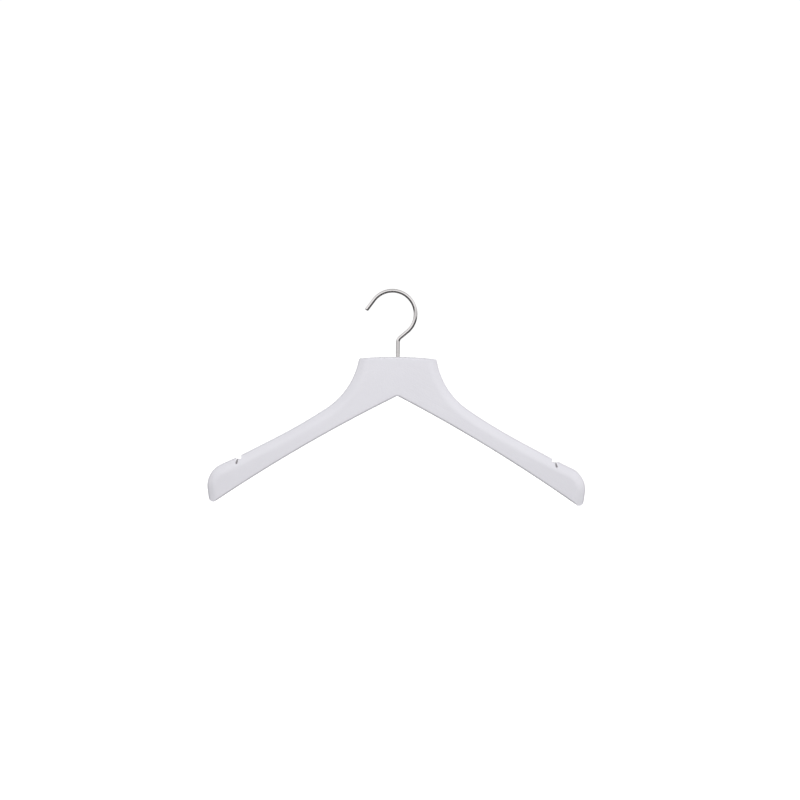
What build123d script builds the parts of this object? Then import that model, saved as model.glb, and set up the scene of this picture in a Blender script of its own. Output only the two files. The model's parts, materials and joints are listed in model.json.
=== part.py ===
"""Contoured shirt hanger with a swivel hook, in millimetres.

Frame: +Z up, +X along the shoulders, -Y to the hanger's front, which the arms curve towards.
The origin is the rail seat, the point inside the hook's top where a clothes rail bears.
The body is two lacquered wooden arms, finger-jointed at the crown. The hook is one bent wire
that turns in a barbed sleeve pressed into the crown, and its upset head keeps it there.
"""

from build123d import *
import math
import os

# Hook wire: a ring that stands off the stem, a short diagonal and a tight bend into the stem
WIRE_D = 3.8
RING_R = 23.4  # of the wire's centreline
RING_OFFSET = 6.0  # from the ring's centre to the stem's axis
RING_ABOVE_CROWN = 43.4  # from the crown's top to the ring's centre
DIAGONAL_TURN = 49.5  # degrees from the stem to the diagonal
BEND_R = 5.0
TIP_TANGENT = 143.8  # degrees round the ring, from +X, where the tip's straight begins
TIP_LENGTH = 12.8
TIP_ROUND = 1.1

# Swivel: depths are measured down the stem from the crown's top
RUNNING_GAP = 0.05
SLEEVE_OUTER_R = 3.1
SLEEVE_TOP = 0.3
SLEEVE_LENGTH = 18.0
SLEEVE_LEAD = 0.5  # chamfer that starts it down the bore
BARB_COUNT = 5
BARB_TOP = 1.2  # from the sleeve's top to the first barb
BARB_HEIGHT = 0.35
BARB_PITCH = 3.2
BARB_SLOPE = 2.4
WASHER_R = 2.8
WASHER_THICKNESS = 0.6
AXIAL_PLAY = 0.1
HEAD_R = 2.7
HEAD_THICKNESS = 1.8
HEAD_BEVEL = 0.4
BORE_DEPTH = 25.0
DRILL_POINT_DEPTH = 1.8  # the cone at the bore's blind end

# Body, front view, measured from its centre line and its crown's top
SPAN = 380.6
CROWN_HALF_WIDTH = 39.2
CROWN_SAG = 2.0
CROWN_CORNER_R = 2.5
CROWN_DEPTH = 39.3  # to the apex under the crown, before its rounding
APEX_R = 5.0
SIDE_ANGLE = 80.6  # degrees below horizontal, where the crown's side leaves its corner
SIDE_R = 76.0
SIDE_END_ANGLE = 33.7  # where the side's arc gives way to a long, flatter one
SHOULDER_POINT = (137.0, -90.2)  # on the shoulder's straight top edge
SHOULDER_ANGLE = 27.3
LOBE_X = 161.0  # where the top of the end lobe begins
LOBE_ANGLE = 24.5
END_TOP_R = 23.0
END_Z = -130.0  # the height at which the span is measured
END_ANGLE = -98.0  # degrees from +X, the way that the end's edge runs down
HEEL_R = 4.5
# The lower edge is one arc, from the apex under the crown through these two points
LOWER_EDGE = ((90.0, -88.4), (177.0, -143.2))

# Body, plan view
CROWN_THICKNESS = 13.0
FRONT_SWEEP = 25.0  # how far forward the front face has come at the span's ends
BACK_SWEEP = 23.5

# Rims of the front and back faces: a wide soft bevel along the crown's sides, the shoulders and the
# ends, and a plain rounding along the crown's top and the lower edge
BEVEL_WIDTH = 7.0
BEVEL_DEPTH = 3.0
BEVEL_OUTER_R = 2.2
BEVEL_INNER_R = 14.0
EDGE_R = 2.0

# Strap notches: a step down from the shoulder, then a narrow slot that leans under the end lobe
NOTCH_X = 156.6
NOTCH_WIDTH = 4.8
NOTCH_FLOOR_Z = -104.2
SLOT_X = 161.3  # in the middle of the arm's thickness, which the slot is cut square to
SLOT_WIDTH = 2.0
SLOT_DEPTH = 5.2  # below the notch's floor, to its rounded end
SLOT_LEAN = 15.0  # degrees outwards

# Finger joint at the crown
FINGER_LENGTH = 12.0
FINGER_COUNT = 5

WIRE_R = WIRE_D / 2
HALF_SPAN = SPAN / 2
CROWN_Z = WIRE_R - RING_R - RING_ABOVE_CROWN
SLEEVE_END = SLEEVE_TOP + SLEEVE_LENGTH
WASHER_TOP = SLEEVE_END + AXIAL_PLAY
HEAD_TOP = WASHER_TOP + WASHER_THICKNESS
HEAD_END = HEAD_TOP + HEAD_THICKNESS

# Trimming solids run this far past the body
SPARE_X = 30.0
SPARE_Z = 40.0
SPARE_Y = 60.0


def polar(length, degrees):
    return Vector(length * math.cos(math.radians(degrees)), length * math.sin(math.radians(degrees)))


def crossing(point, degrees, other, other_degrees):
    """Where two lines in the plane meet, each given by a point and a direction."""
    one = polar(1, degrees)
    two = polar(1, other_degrees)
    gap = Vector(*other) - Vector(*point)
    along = (gap.X * two.Y - gap.Y * two.X) / (one.X * two.Y - one.Y * two.X)
    return Vector(*point) + one * along


def placed(shape):
    """Moves a shape made about the crown's top centre to its place in the frame."""
    return Pos(RING_OFFSET, 0, CROWN_Z) * shape


def turned(points):
    """A solid of revolution about the stem, from (radius, depth) points."""
    outline = Polyline(*[(radius, -depth) for radius, depth in points], close=True)
    return revolve(Plane.XZ * make_face(outline), Axis.Z)


def hook_wire():
    """The bent wire, with the head that is upset on its lower end."""
    ring_centre = Vector(-RING_OFFSET, RING_ABOVE_CROWN)
    leave = ring_centre + polar(RING_R, -DIAGONAL_TURN)
    corner = crossing(leave, 90 - DIAGONAL_TURN, (0, 0), 90)
    stem = FilletPolyline((0, -HEAD_TOP), corner, leave, radius=BEND_R)
    ring = CenterArc(ring_centre, RING_R, -DIAGONAL_TURN, TIP_TANGENT + DIAGONAL_TURN)
    tip_start = ring @ 1
    tip = Line(tip_start, tip_start + polar(TIP_LENGTH, TIP_TANGENT + 90))
    section = Plane.XY.offset(-HEAD_TOP) * Circle(WIRE_R)
    wire = sweep(section, path=Plane.XZ * (stem + ring + tip))
    tip_rim = wire.edges().filter_by(GeomType.CIRCLE).sort_by(Axis.X)[0]
    wire = fillet(tip_rim, TIP_ROUND)
    head = turned(
        [
            (0, HEAD_TOP),
            (HEAD_R - HEAD_BEVEL, HEAD_TOP),
            (HEAD_R, HEAD_TOP + HEAD_BEVEL),
            (HEAD_R, HEAD_END - HEAD_BEVEL),
            (HEAD_R - HEAD_BEVEL, HEAD_END),
            (0, HEAD_END),
        ]
    )
    return placed(wire + head)


def barbed(inner):
    """A saw-toothed tube, or with no inner radius the room that it takes up in the wood."""
    points = [(inner, SLEEVE_TOP), (SLEEVE_OUTER_R, SLEEVE_TOP)]
    for barb in range(BARB_COUNT):
        top = SLEEVE_TOP + BARB_TOP + barb * BARB_PITCH
        points.append((SLEEVE_OUTER_R, top))
        points.append((SLEEVE_OUTER_R + BARB_HEIGHT, top))
        points.append((SLEEVE_OUTER_R, top + BARB_SLOPE))
    points.append((SLEEVE_OUTER_R, SLEEVE_END - SLEEVE_LEAD))
    points.append((SLEEVE_OUTER_R - SLEEVE_LEAD, SLEEVE_END))
    points.append((inner, SLEEVE_END))
    return turned(points)


def hook_sleeve():
    return placed(barbed(WIRE_R + RUNNING_GAP))


def thrust_washer():
    inner = WIRE_R + RUNNING_GAP
    return placed(
        turned([(inner, WASHER_TOP), (WASHER_R, WASHER_TOP), (WASHER_R, HEAD_TOP), (inner, HEAD_TOP)])
    )


def hook_bore():
    """The drilled hole down the crown, with the grooves that the sleeve's barbs press."""
    drill = turned(
        [
            (0, -SPARE_Z),
            (SLEEVE_OUTER_R, -SPARE_Z),
            (SLEEVE_OUTER_R, BORE_DEPTH),
            (0, BORE_DEPTH + DRILL_POINT_DEPTH),
        ]
    )
    return drill + barbed(0)


def crown_top(reach):
    """The right half's top edge over the crown, an arc that may be carried past its corner."""
    radius = (CROWN_HALF_WIDTH**2 + CROWN_SAG**2) / (2 * CROWN_SAG)
    return ThreePointArc(*[(x, math.sqrt(radius**2 - x**2) - radius) for x in (0, reach / 2, reach)])


def shoulder_outline():
    """The right half's upper edge in the XZ plane, from the crown's corner to the arm's end."""
    corner = Vector(CROWN_HALF_WIDTH, -CROWN_SAG)
    side_centre = corner + polar(SIDE_R, 90 - SIDE_ANGLE)
    side = CenterArc(side_centre, SIDE_R, 270 - SIDE_ANGLE, SIDE_ANGLE - SIDE_END_ANGLE)
    knee = crossing(side @ 1, -SIDE_END_ANGLE, SHOULDER_POINT, -SHOULDER_ANGLE)
    land = knee + polar((knee - side @ 1).length, -SHOULDER_ANGLE)
    flank = TangentArc(side @ 1, land, tangent=polar(1, -SIDE_END_ANGLE))

    lobe_start = crossing(SHOULDER_POINT, -SHOULDER_ANGLE, (LOBE_X, 0), 90)
    shoulder = Line(land, lobe_start)
    end_corner = crossing(lobe_start, -LOBE_ANGLE, (HALF_SPAN, END_Z), END_ANGLE)
    reach = END_TOP_R * math.tan(math.radians((-LOBE_ANGLE - END_ANGLE) / 2))
    lobe = Line(lobe_start, end_corner - polar(reach, -LOBE_ANGLE))
    end_round = TangentArc(lobe @ 1, end_corner + polar(reach, END_ANGLE), tangent=polar(1, -LOBE_ANGLE))
    return [side, flank, shoulder, lobe, end_round]


def lower_outline():
    """The right half's lower edge, an arc from the apex and its tangent past the arm's end."""
    arc = ThreePointArc((0, -CROWN_DEPTH), *LOWER_EDGE)
    slope = arc % 1
    angle = math.degrees(math.atan2(slope.Y, slope.X))
    tail = Line(arc @ 1, crossing(arc @ 1, angle, (HALF_SPAN + SPARE_X, 0), 90))
    return [arc, tail]


def mirrored_face(half):
    """A face from the right half's edges, which run from the centre line round to it again."""
    edges = (Curve() + half).edges()
    return make_face(Wire(edges + mirror(edges, Plane.YZ).edges()))


def carried_through(face):
    return extrude(Plane.XZ * face, SPARE_Y, both=True)


def plan_band():
    """The space between the front and back faces, which sweep forward to the ends."""
    reach = HALF_SPAN + SPARE_X
    growth = (reach / HALF_SPAN) ** 2
    back = CROWN_THICKNESS / 2
    front = -back
    back_end = back - BACK_SWEEP * growth
    front_end = front - FRONT_SWEEP * growth
    front_arc = ThreePointArc((-reach, front_end), (0, front), (reach, front_end))
    back_arc = ThreePointArc((-reach, back_end), (0, back), (reach, back_end))
    sides = [Line(front_arc @ end, back_arc @ end) for end in (0, 1)]
    face = make_face(Wire((Curve() + [front_arc, back_arc] + sides).edges()))
    return extrude(face, 2 * HALF_SPAN, both=True)


def broad_face(solid, side):
    """The front face for side 0 or the back face for side 1."""
    return solid.faces().sort_by(SortBy.AREA)[-2:].sort_by(Axis.Y)[side]


def rims(faces, low, high, reach=SPAN):
    """Edges round the faces, between two heights and within reach, without seams that run along Y."""
    found = []
    for edge in [edge for face in faces for edge in face.edges()]:
        middle = edge.center()
        span = edge.end_point() - edge.start_point()
        is_seam = math.hypot(span.X, span.Z) < 1
        if not is_seam and low < middle.Z < high and abs(middle.X) < reach:
            found.append(edge)
    return found


def runs_front_to_back(face):
    """Tells the faces round a solid's edge from its broad faces and bevels."""
    return abs(face.normal_at(face.center()).Y) < 1e-6


def near(face, point):
    """The face's vertices at a point and at its mirror image."""
    return [v for v in face.vertices() if math.dist((abs(v.X), v.Y), point) < 1]


def shoulder_part(band, shoulder):
    """Bevelled along the sides, shoulders and ends, and carried on above and below the body."""
    end_top = shoulder[-1] @ 1
    below = crossing(end_top, END_ANGLE, (0, LOWER_EDGE[1][1] - SPARE_Z), 0)
    above = crossing(shoulder[0] @ 0, -SIDE_ANGLE, (0, SPARE_Z), 0)
    top = [Line((0, SPARE_Z), above), Line(above, shoulder[0] @ 0)]
    bottom = [Line(end_top, below), Line(below, (0, below.Y))]
    solid = (carried_through(mirrored_face(top + shoulder + bottom)) & band).solid()
    low = below.Y + 1
    high = SPARE_Z - 1
    for side in (0, 1):
        face = broad_face(solid, side)
        solid = chamfer(rims([face], low, high), BEVEL_WIDTH, BEVEL_DEPTH, reference=face).solid()
    edge_faces = [face for face in solid.faces() if runs_front_to_back(face)]
    solid = fillet(rims(edge_faces, low, high), BEVEL_OUTER_R).solid()
    for side in (0, 1):
        solid = fillet(rims([broad_face(solid, side)], low, high), BEVEL_INNER_R).solid()
    return solid


def crown_part(band, lower):
    """Rounded along the crown's top and the lower edge, and carried on past the body's sides."""
    far = lower[-1] @ 1
    top = crown_top(far.X)
    face = mirrored_face(lower + [Line(far, top @ 1), top])
    face = fillet(near(face, (0, -CROWN_DEPTH)), APEX_R)
    solid = (carried_through(face) & band).solid()
    faces = [broad_face(solid, side) for side in (0, 1)]
    return fillet(rims(faces, far.Y, 1, far.X - 1), EDGE_R)


def rounded_body():
    """The body before its notches, bore and joint, centred on X with the crown's top at zero."""
    shoulder = shoulder_outline()
    lower = lower_outline()
    band = plan_band()
    end_top = shoulder[-1] @ 1
    tail = lower[-1] % 0
    heel = crossing(end_top, END_ANGLE, LOWER_EDGE[1], math.degrees(math.atan2(tail.Y, tail.X)))
    lower_end = [Line(end_top, heel), Line(heel, LOWER_EDGE[1]), lower[0]]
    outline = mirrored_face([crown_top(CROWN_HALF_WIDTH)] + shoulder + lower_end)
    outline = fillet(near(outline, (CROWN_HALF_WIDTH, -CROWN_SAG)), CROWN_CORNER_R)
    outline = fillet(near(outline, (heel.X, heel.Y)), HEEL_R)
    crown = crown_part(band, lower) & carried_through(outline)
    return (crown & shoulder_part(band, shoulder)).solid()


def notch():
    """The right arm's strap notch: a step cut straight through, and a slot sawn square to the arm."""
    floor = NOTCH_FLOOR_Z
    step = Polyline(
        (NOTCH_X, floor),
        (NOTCH_X, floor + SPARE_Z),
        (NOTCH_X + NOTCH_WIDTH, floor + SPARE_Z),
        (NOTCH_X + NOTCH_WIDTH, floor),
        close=True,
    )
    length = SLOT_DEPTH + SLOT_WIDTH
    middle = Vector(SLOT_X, floor) + polar(SLOT_DEPTH - length / 2, SLOT_LEAN - 90)
    slot = Pos(middle.X, middle.Y) * Rot(0, 0, SLOT_LEAN - 90) * SlotOverall(length, SLOT_WIDTH)
    mean_sweep = (FRONT_SWEEP + BACK_SWEEP) / 2
    arm_y = -mean_sweep * (SLOT_X / HALF_SPAN) ** 2
    arm_turn = math.degrees(math.atan(2 * arm_y / SLOT_X))
    pivot = Pos(SLOT_X, arm_y, 0)
    saw_cut = pivot * Rot(0, 0, arm_turn) * pivot.inverse() * carried_through(slot)
    return carried_through(make_face(step)) + saw_cut


def right_of_joint():
    """All that is the right arm's: its side, and the fingers that it reaches across the middle."""
    side = Pos(HALF_SPAN, 0, 0) * Box(2 * HALF_SPAN - FINGER_LENGTH, 2 * SPARE_Y, 2 * SPAN)
    pitch = CROWN_THICKNESS / FINGER_COUNT
    for row in range(1, FINGER_COUNT, 2):
        y = (row + 0.5) * pitch - CROWN_THICKNESS / 2
        side += Pos(0, y, 0) * Box(FINGER_LENGTH, pitch, 2 * SPAN)
    return side


def arms():
    """The left and right arms, cut from the one rounded body."""
    right_notch = notch()
    body = rounded_body() - right_notch - mirror(right_notch, Plane.YZ) - hook_bore()
    right_side = right_of_joint()
    return placed(body - right_side), placed(body & right_side)


if __name__ == "__main__":
    left_arm, right_arm = arms()
    nodes = {
        "hook_wire": hook_wire(),
        "thrust_washer": thrust_washer(),
        "hook_sleeve": hook_sleeve(),
        "left_arm": left_arm,
        "right_arm": right_arm,
    }
    os.makedirs("parts", exist_ok=True)
    for name, shape in nodes.items():
        export_step(shape, f"parts/{name}.step")
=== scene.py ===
"""Materials, light and camera for the clothes hanger: white lacquer, nickel plate and a pale studio."""

import json
import math

import bpy
from mathutils import Matrix, Vector


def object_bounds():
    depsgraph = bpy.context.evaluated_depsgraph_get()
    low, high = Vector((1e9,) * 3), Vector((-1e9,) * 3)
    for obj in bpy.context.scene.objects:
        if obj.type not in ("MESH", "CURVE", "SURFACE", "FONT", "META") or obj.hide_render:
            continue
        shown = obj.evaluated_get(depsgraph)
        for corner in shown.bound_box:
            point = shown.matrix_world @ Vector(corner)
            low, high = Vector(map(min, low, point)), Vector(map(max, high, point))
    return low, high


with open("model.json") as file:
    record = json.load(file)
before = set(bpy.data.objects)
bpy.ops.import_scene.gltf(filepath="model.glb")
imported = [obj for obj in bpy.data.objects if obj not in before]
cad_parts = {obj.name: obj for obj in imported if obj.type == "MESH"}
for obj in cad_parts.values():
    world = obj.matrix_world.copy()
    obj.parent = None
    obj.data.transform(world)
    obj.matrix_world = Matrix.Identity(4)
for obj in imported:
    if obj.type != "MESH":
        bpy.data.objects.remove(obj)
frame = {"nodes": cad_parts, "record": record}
cad_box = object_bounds()

# The hanger, in metres
ARM_ANGLE = math.radians(28.0)  # how steeply the arms, and the grain of their wood, run down
SPAN_MIDDLE = (cad_box[0].x + cad_box[1].x) / 2
HALF_SPAN = (cad_box[1].x - cad_box[0].x) / 2
LOWEST = cad_box[0].z
MOUNTS = {mount["name"]: mount["pos_m"] for mount in frame["record"]["mounts"]}
NOTCHES = {-1: MOUNTS["strap_notch_left"], 1: MOUNTS["strap_notch_right"]}
SCUFFED_END = 0.012  # the length of each arm's end that is knocked and rubbed
SLOT_OFFSET = 0.0018  # outwards from the notch's middle to the slot's
SLOT_INSIDE, SLOT_OUTSIDE = 0.0034, 0.0040  # distances from the slot's middle where the painted shade and extra roughness end
SLOT_BELOW, SLOT_MOUTH = 0.0008, 0.0002  # depths under the notch's floor where the painted shade and extra roughness begin
RUBBED_FROM, RUBBED_FULLY = -0.006, 0.001  # heights at which the rail wears the hook

# Camera
CAMERA_DISTANCE = 4.0
CAMERA_ELEVATION = 2.0  # degrees
CAMERA_AZIMUTH = 0.0
CAMERA_ROLL = -0.67
FRAME_WIDTH = 0.8092  # metres across the picture, at the hanger
AIM = Vector((0.0087, 0.0, -0.1085))  # the point at the picture's centre
SENSOR = 36.0

# Studio
FLOOR_DROP = 0.55  # from the hanger's lowest point to the floor
FLOOR_SIZE = 60.0
FLOOR_GLOW = 0.7  # keeps the floor as white as the backdrop
CARD_DROP = 0.05  # from the floor to the dark card
CARD_SIZE = 4.0
BACKDROP = 1.05  # how bright the camera sees the studio's walls
KEY_PLACE = (0.1, -1.0, 0.14)
KEY_AIM = (0.01, 0, -0.1)
KEY_SIZE = 0.8
KEY_POWER = 6.3  # watts


class Nodes:
    """Builds one node tree, left to right, with short calls."""

    def __init__(self, tree):
        self.tree = tree
        tree.nodes.clear()

    def add(self, kind, settings=None, **inputs):
        node = self.tree.nodes.new(kind)
        for name, value in (settings or {}).items():
            setattr(node, name, value)
        for name, value in inputs.items():
            self.feed(node, name.replace("_", " "), value)
        return node

    def feed(self, node, name, value):
        """Links or sets an input, given by its name or by its number."""
        socket = node.inputs[name]
        if isinstance(value, bpy.types.NodeSocket):
            self.tree.links.new(value, socket)
        else:
            socket.default_value = value

    def math(self, operation, first, second=0.0):
        node = self.add("ShaderNodeMath", {"operation": operation})
        self.feed(node, 0, first)
        self.feed(node, 1, second)
        return node.outputs[0]

    def ramp(self, factor, low, high, start=0.0, end=1.0):
        """Maps factor from start..end to low..high, held at both ends."""
        limits = {"From_Min": start, "From_Max": end, "To_Min": low, "To_Max": high}
        return self.add("ShaderNodeMapRange", Value=factor, **limits).outputs[0]

    def mix(self, factor, first, second):
        """Mixes two colours."""
        node = self.add("ShaderNodeMix", {"data_type": "RGBA"})
        self.feed(node, 0, factor)
        self.feed(node, 6, first)
        self.feed(node, 7, second)
        return node.outputs[2]

    def noise(self, place, scale, detail=2.0, roughness=0.5):
        node = self.add("ShaderNodeTexNoise", Vector=place, Scale=scale, Detail=detail, Roughness=roughness)
        return node.outputs[0]

    def place(self, scale=(1, 1, 1), turn=(0, 0, 0)):
        """Coordinates fixed to the object, turned first and then scaled."""
        where = self.add("ShaderNodeTexCoord").outputs["Object"]
        turned = self.add("ShaderNodeMapping", Vector=where, Rotation=turn)
        return self.add("ShaderNodeMapping", Vector=turned.outputs[0], Scale=scale).outputs[0]

    def split(self, vector):
        return self.add("ShaderNodeSeparateXYZ", Vector=vector).outputs


def new_material(name):
    material = bpy.data.materials.new(name)
    material.use_nodes = True
    n = Nodes(material.node_tree)
    shader = n.add("ShaderNodeBsdfPrincipled")
    n.add("ShaderNodeOutputMaterial", Surface=shader.outputs[0])
    return material, n, shader


def roughen(n, shader, height, strength, distance):
    bump = n.add("ShaderNodeBump", Height=height, Strength=strength, Distance=distance)
    n.feed(shader, "Normal", bump.outputs[0])


def slot_mask(n, x, z, side):
    """1 on the faces inside the strap notch's slot, and 0 elsewhere; there shade is painted into the colour
    and the roughness is raised.
    """
    notch_x, _, notch_floor = NOTCHES[side]
    normal = n.add("ShaderNodeTexCoord").outputs["Normal"]
    facing_front = n.math("ABSOLUTE", n.split(normal)[1])
    from_slot = n.math("ABSOLUTE", n.math("SUBTRACT", x, notch_x + side * SLOT_OFFSET))
    across = n.ramp(from_slot, 1.0, 0.0, SLOT_INSIDE, SLOT_OUTSIDE)
    sideways = n.ramp(facing_front, 1.0, 0.0, 0.5, 0.8)
    below = n.ramp(z, 1.0, 0.0, notch_floor - SLOT_BELOW, notch_floor - SLOT_MOUTH)
    return n.math("MULTIPLY", n.math("MULTIPLY", across, sideways), below)


def white_lacquer(name, side):
    """Sprayed satin lacquer over sanded hardwood, with painted shade and a rougher finish inside the strap
    notch's slot.
    """
    material, n, shader = new_material(name)
    along_arm = (0, -side * ARM_ANGLE, 0)
    grain = n.noise(n.place(scale=(14, 160, 160), turn=along_arm), 1.0, detail=4.0, roughness=0.6)
    pores = n.noise(n.place(scale=(90, 1400, 1400), turn=along_arm), 1.0)
    patches = n.noise(n.place(), 22.0, detail=3.0)
    peel = n.noise(n.place(), 700.0, roughness=0.4)
    x, _, z = n.split(n.place())

    # Knocks and rubbing have dulled the last few millimetres of the arm
    from_middle = n.math("ABSOLUTE", n.math("SUBTRACT", x, SPAN_MIDDLE))
    tip = n.ramp(from_middle, 0.0, 1.0, HALF_SPAN - SCUFFED_END, HALF_SPAN)
    scuffs = n.noise(n.place(scale=(260, 260, 90)), 1.0, detail=5.0, roughness=0.7)
    scuffed = n.math("MULTIPLY", tip, n.ramp(scuffs, 0.0, 1.0, 0.5, 0.62))
    # Painted shade inside the slot: a darker colour on its inner walls, and more roughness there
    slot_shade_and_roughness = slot_mask(n, x, z, side)

    cloudy = n.ramp(patches, 0.0, 1.0, 0.35, 0.65)
    tone = n.mix(cloudy, (0.850, 0.842, 0.885, 1), (0.870, 0.863, 0.905, 1))
    tone = n.mix(n.ramp(grain, 0.0, 0.35, 0.3, 0.75), tone, (0.825, 0.818, 0.862, 1))
    tone = n.mix(n.math("MULTIPLY", scuffed, 0.3), tone, (0.70, 0.69, 0.70, 1))
    # The painted shade colour for the slot's inner walls, grey with the grain in it
    painted_slot_shade = n.mix(grain, (0.64, 0.625, 0.64, 1), (0.78, 0.762, 0.782, 1))
    n.feed(shader, "Base Color", n.mix(slot_shade_and_roughness, tone, painted_slot_shade))

    rough = n.math("ADD", n.ramp(patches, 0.3, 0.38, 0.3, 0.7), n.ramp(pores, 0.0, 0.06, 0.5, 0.8))
    rough = n.math("ADD", rough, n.math("MULTIPLY", scuffed, 0.2))
    n.feed(shader, "Roughness", n.math("ADD", rough, n.math("MULTIPLY", slot_shade_and_roughness, 0.45)))
    n.feed(shader, "Coat Weight", 0.25)
    n.feed(shader, "Coat Roughness", 0.18)
    n.feed(shader, "IOR", 1.5)

    height = n.math("ADD", n.math("MULTIPLY", peel, 0.5), n.math("MULTIPLY", grain, 0.8))
    height = n.math("ADD", height, n.math("MULTIPLY", pores, 0.35))
    roughen(n, shader, height, 0.6, 0.0003)
    return material


def polished_nickel(name):
    """Plated wire, buffed bright, with fine scratches and a duller patch where it rides the rail."""
    material, n, shader = new_material(name)
    _, _, z = n.split(n.place())
    rubbed = n.ramp(z, 0.0, 1.0, RUBBED_FROM, RUBBED_FULLY)
    scratches = n.noise(n.place(scale=(900, 5000, 900)), 1.0, detail=3.0, roughness=0.7)
    cloud = n.noise(n.place(), 160.0, detail=3.0)
    n.feed(shader, "Base Color", n.mix(cloud, (0.70, 0.675, 0.665, 1), (0.76, 0.74, 0.73, 1)))
    n.feed(shader, "Metallic", 1.0)
    wear = n.math("MULTIPLY", rubbed, n.ramp(scratches, 0.0, 0.22, 0.4, 0.7))
    n.feed(shader, "Roughness", n.math("ADD", n.ramp(cloud, 0.09, 0.17, 0.3, 0.7), wear))
    roughen(n, shader, scratches, 0.12, 0.00004)
    return material


def turned_brass(name):
    """Lathe-turned brass: fine rings round the axis, and a little tarnish."""
    material, n, shader = new_material(name)
    round_axis = {"bands_direction": "Z"}
    rings = n.add("ShaderNodeTexWave", round_axis, Vector=n.place(), Scale=900.0, Distortion=0.6)
    tarnish = n.noise(n.place(), 500.0, detail=4.0)
    tarnished = n.ramp(tarnish, 0.0, 1.0, 0.35, 0.7)
    n.feed(shader, "Base Color", n.mix(tarnished, (0.78, 0.58, 0.28, 1), (0.52, 0.36, 0.17, 1)))
    n.feed(shader, "Metallic", 1.0)
    n.feed(shader, "Roughness", n.ramp(tarnish, 0.22, 0.42, 0.3, 0.7))
    roughen(n, shader, rings.outputs[1], 0.3, 0.00002)
    return material


def stamped_steel(name):
    """Zinc-grey stamped washer, with directionless tumbling marks."""
    material, n, shader = new_material(name)
    marks = n.noise(n.place(), 1500.0, detail=5.0, roughness=0.65)
    n.feed(shader, "Base Color", n.mix(marks, (0.50, 0.50, 0.51, 1), (0.66, 0.66, 0.67, 1)))
    n.feed(shader, "Metallic", 1.0)
    n.feed(shader, "Roughness", n.ramp(marks, 0.3, 0.5, 0.3, 0.7))
    roughen(n, shader, marks, 0.25, 0.00003)
    return material


def dress(node, material):
    mesh = frame["nodes"][node].data
    mesh.materials.clear()
    mesh.materials.append(material)


def flat_square(name, size, height):
    mesh = bpy.data.meshes.new(name)
    half = size / 2
    corners = [(-half, -half, height), (half, -half, height), (half, half, height), (-half, half, height)]
    mesh.from_pydata(corners, [], [(0, 1, 2, 3)])
    square = bpy.data.objects.new(name, mesh)
    bpy.context.scene.collection.objects.link(square)
    return square


def pale_floor():
    """A white paper floor that only the camera sees."""
    floor = flat_square("floor", FLOOR_SIZE, LOWEST - FLOOR_DROP)
    material, n, shader = new_material("floor_paper")
    fibre = n.noise(n.place(), 40.0, detail=4.0)
    n.feed(shader, "Base Color", n.mix(fibre, (0.93, 0.93, 0.93, 1), (0.97, 0.97, 0.97, 1)))
    n.feed(shader, "Roughness", 0.9)
    n.feed(shader, "Emission Color", (1, 1, 1, 1))
    n.feed(shader, "Emission Strength", FLOOR_GLOW)
    floor.data.materials.append(material)
    floor.visible_diffuse = False
    floor.visible_glossy = False


def dark_card():
    """A felt card under the floor, which darkens the light and the reflections from below."""
    card = flat_square("dark_card", CARD_SIZE, LOWEST - FLOOR_DROP - CARD_DROP)
    material, n, shader = new_material("card_felt")
    n.feed(shader, "Base Color", (0.18, 0.18, 0.18, 1))
    n.feed(shader, "Roughness", 1.0)
    card.data.materials.append(material)
    card.visible_camera = False


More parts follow.
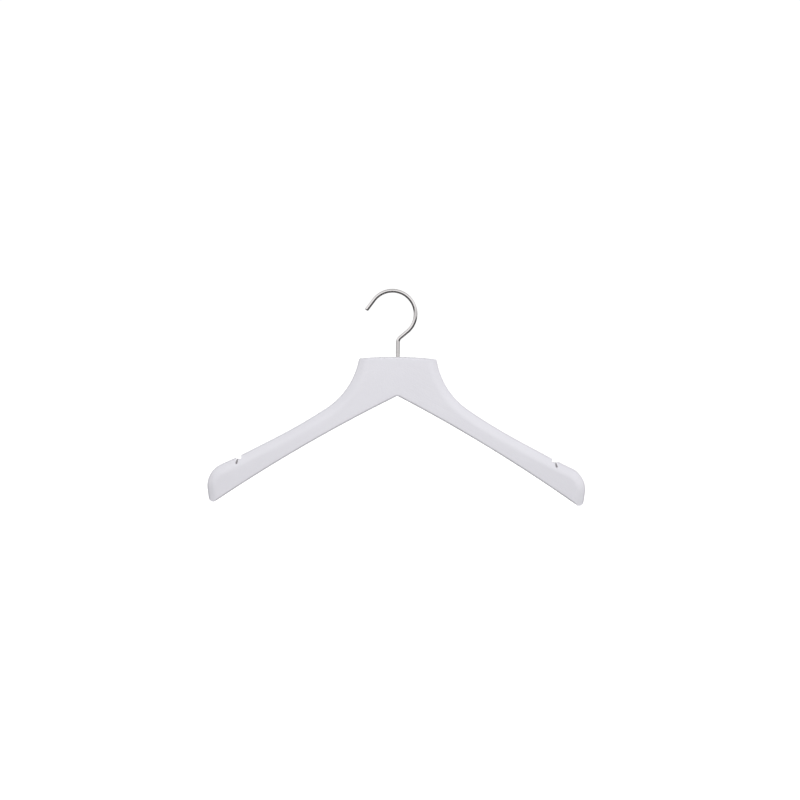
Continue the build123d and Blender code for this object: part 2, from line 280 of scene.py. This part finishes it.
def surroundings():
    """The light that comes from all round, and the plain backdrop that the camera sees."""
    world = bpy.data.worlds.new("studio")
    bpy.context.scene.world = world
    world.use_nodes = True
    n = Nodes(world.node_tree)
    right, back, up = n.split(n.add("ShaderNodeTexCoord").outputs["Generated"])
    sides = n.math("ABSOLUTE", right)

    # What lights the surfaces: most comes from behind, some from the sides, and more from the right one
    soft = n.math("ADD", n.ramp(back, 0.12, 0.0, -0.9, 0.0), n.ramp(back, 0.0, 0.9, 0.1, 0.9))
    soft = n.math("ADD", soft, n.ramp(up, 0.0, 0.04, 0.0, 0.4))
    soft = n.math("SUBTRACT", soft, n.ramp(up, 0.0, 0.14, 0.5, 1.0))
    soft = n.math("ADD", soft, n.ramp(sides, 0.32, 0.40, 0.3, 0.9))
    soft = n.math("ADD", soft, n.ramp(right, 0.0, 0.16, 0.2, 0.95))

    # What they mirror: bright in front and above the horizon, dim overhead and nearly black below
    mirrored = n.math("ADD", n.ramp(back, 0.86, 0.36, -0.3, 0.8), n.ramp(up, 0.0, 0.42, 0.03, 0.3))
    mirrored = n.math("SUBTRACT", mirrored, n.ramp(up, 0.0, 0.62, 0.5, 1.0))
    mirrored = n.math("SUBTRACT", mirrored, n.ramp(sides, 0.0, 0.15, 0.4, 0.9))
    mirrored = n.math("MULTIPLY", mirrored, n.ramp(up, 0.03, 1.0, -0.2, -0.06))

    ray = n.add("ShaderNodeLightPath").outputs
    to_camera = ray["Is Camera Ray"]
    level = n.ramp(ray["Is Glossy Ray"], soft, mirrored)
    tint = n.mix(to_camera, (0.99, 0.985, 1.0, 1), (1, 1, 1, 1))
    background = n.add("ShaderNodeBackground", Color=tint, Strength=n.ramp(to_camera, level, BACKDROP))
    n.add("ShaderNodeOutputWorld", Surface=background.outputs[0])


def key_light():
    """A broad, soft light in front of the hanger, left out of the reflections."""
    data = bpy.data.lights.new("key", "AREA")
    data.shape = "SQUARE"
    data.size = KEY_SIZE
    data.energy = KEY_POWER
    data.color = (0.99, 0.99, 1.0)
    light = bpy.data.objects.new("key", data)
    light.location = KEY_PLACE
    light.rotation_euler = (Vector(KEY_AIM) - Vector(KEY_PLACE)).to_track_quat("-Z", "Y").to_euler()
    bpy.context.scene.collection.objects.link(light)
    light.visible_glossy = False


def camera():
    data = bpy.data.cameras.new("camera")
    data.sensor_width = SENSOR
    data.lens = SENSOR * CAMERA_DISTANCE / FRAME_WIDTH
    eye = bpy.data.objects.new("camera", data)
    azimuth = math.radians(CAMERA_AZIMUTH)
    elevation = math.radians(CAMERA_ELEVATION)
    level = math.cos(elevation)
    to_eye = Vector((math.sin(azimuth) * level, -math.cos(azimuth) * level, math.sin(elevation)))
    eye.location = AIM + to_eye * CAMERA_DISTANCE
    look = (-to_eye).to_track_quat("-Z", "Y").to_matrix().to_4x4()
    look = look @ Matrix.Rotation(math.radians(-CAMERA_ROLL), 4, "Z")
    eye.rotation_euler = look.to_euler()
    bpy.context.scene.collection.objects.link(eye)
    bpy.context.scene.camera = eye


dress("left_arm", white_lacquer("lacquer_left_arm", -1))
dress("right_arm", white_lacquer("lacquer_right_arm", 1))
dress("hook_wire", polished_nickel("nickel_plate"))
dress("hook_sleeve", turned_brass("turned_brass"))
dress("thrust_washer", stamped_steel("washer_steel"))

pale_floor()
dark_card()
surroundings()
key_light()
camera()
bpy.context.scene.view_settings.view_transform = "Standard"
